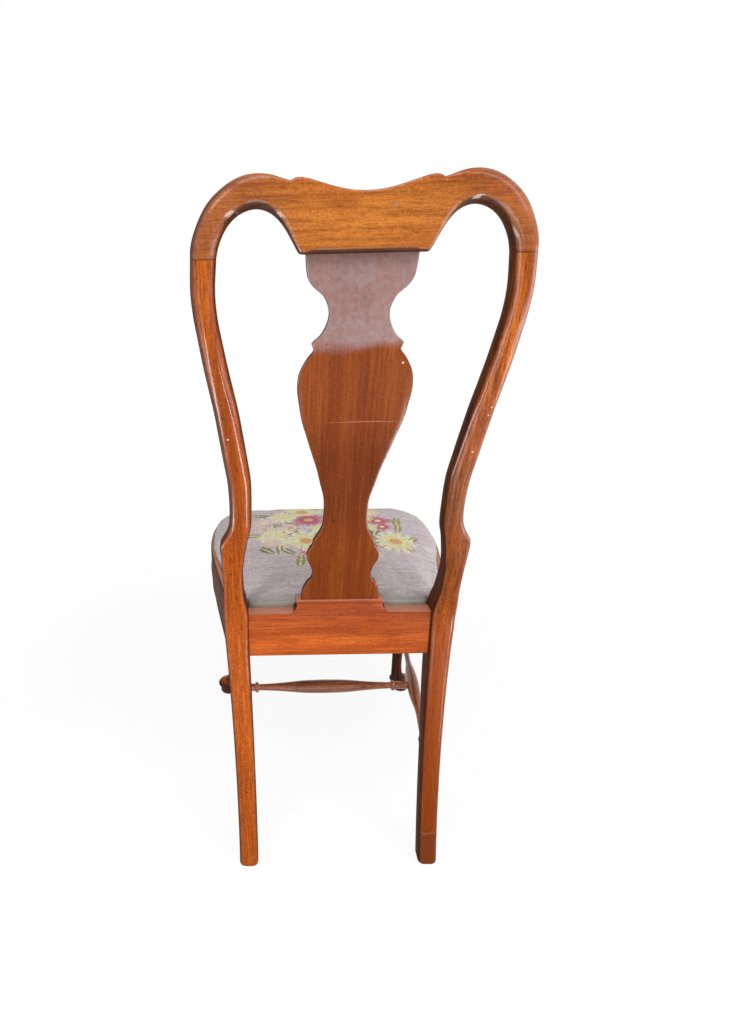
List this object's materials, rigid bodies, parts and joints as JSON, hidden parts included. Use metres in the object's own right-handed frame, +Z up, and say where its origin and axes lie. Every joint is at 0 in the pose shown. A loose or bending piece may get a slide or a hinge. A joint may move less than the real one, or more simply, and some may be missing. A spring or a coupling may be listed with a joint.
{
  "type": "balloon back chair",
  "caption": "Wooden side chair with a rounded open back, vase-shaped splat, curved front legs on pad feet, turned stretchers and a lift-out needlepoint seat.",
  "frame": {"origin": "centre of the bounding box at floor level", "axes": "+Z up, the front of the seat faces -Y and the back stands at +Y; names with left_ are on the sitter's left at +X, which is the left half of the picture, taken from behind"},
  "size_m": [0.4422, 0.5316, 1.018],
  "materials": {
    "walnut": "polished reddish-brown wood with open grain",
    "secondary_wood": "plain unfinished wood",
    "steel": "plain steel wood screws",
    "webbing": "jute webbing and deck cloth",
    "padding": "cotton wadding",
    "needlepoint": "wool needlepoint, grey ground with a flower bouquet",
    "cambric": "thin black dust cloth"
  },
  "bodies": {
    "chair_frame": {"left_rear_post": "walnut", "right_rear_post": "walnut", "crest_rail": "walnut", "splat": "walnut", "splat_shoe": "walnut", "rear_seat_rail": "walnut", "front_seat_rail": "walnut", "left_side_seat_rail": "walnut", "right_side_seat_rail": "walnut", "left_front_leg": "walnut", "right_front_leg": "walnut", "left_front_knee_bracket": "walnut", "right_front_knee_bracket": "walnut", "left_side_knee_bracket": "walnut", "right_side_knee_bracket": "walnut", "left_side_stretcher": "walnut", "right_side_stretcher": "walnut", "medial_stretcher": "walnut", "left_rear_corner_block": "secondary_wood", "right_rear_corner_block": "secondary_wood", "left_front_corner_block": "secondary_wood", "right_front_corner_block": "secondary_wood", "left_rear_rail_screw": "steel", "right_rear_rail_screw": "steel", "left_side_rail_rear_screw": "steel", "right_side_rail_rear_screw": "steel", "left_front_rail_screw": "steel", "right_front_rail_screw": "steel", "left_side_rail_front_screw": "steel", "right_side_rail_front_screw": "steel"},
    "drop_in_seat": {"seat_frame_rear": "secondary_wood", "seat_frame_front": "secondary_wood", "left_seat_frame_side": "secondary_wood", "right_seat_frame_side": "secondary_wood", "seat_web_long_1": "webbing", "seat_web_long_2": "webbing", "seat_web_long_3": "webbing", "seat_web_long_4": "webbing", "seat_web_cross_1": "webbing", "seat_web_cross_2": "webbing", "seat_web_cross_3": "webbing", "seat_web_cross_4": "webbing", "seat_deck_cloth": "webbing", "seat_padding": "padding", "seat_cover": "needlepoint", "seat_dust_cover": "cambric"}
  },
  "joints": [
    {"name": "seat_lift", "type": "slide", "parent": "chair_frame", "child": "drop_in_seat", "axis": [0, 0, 1], "range_m": [0, 0.1]}
  ]
}
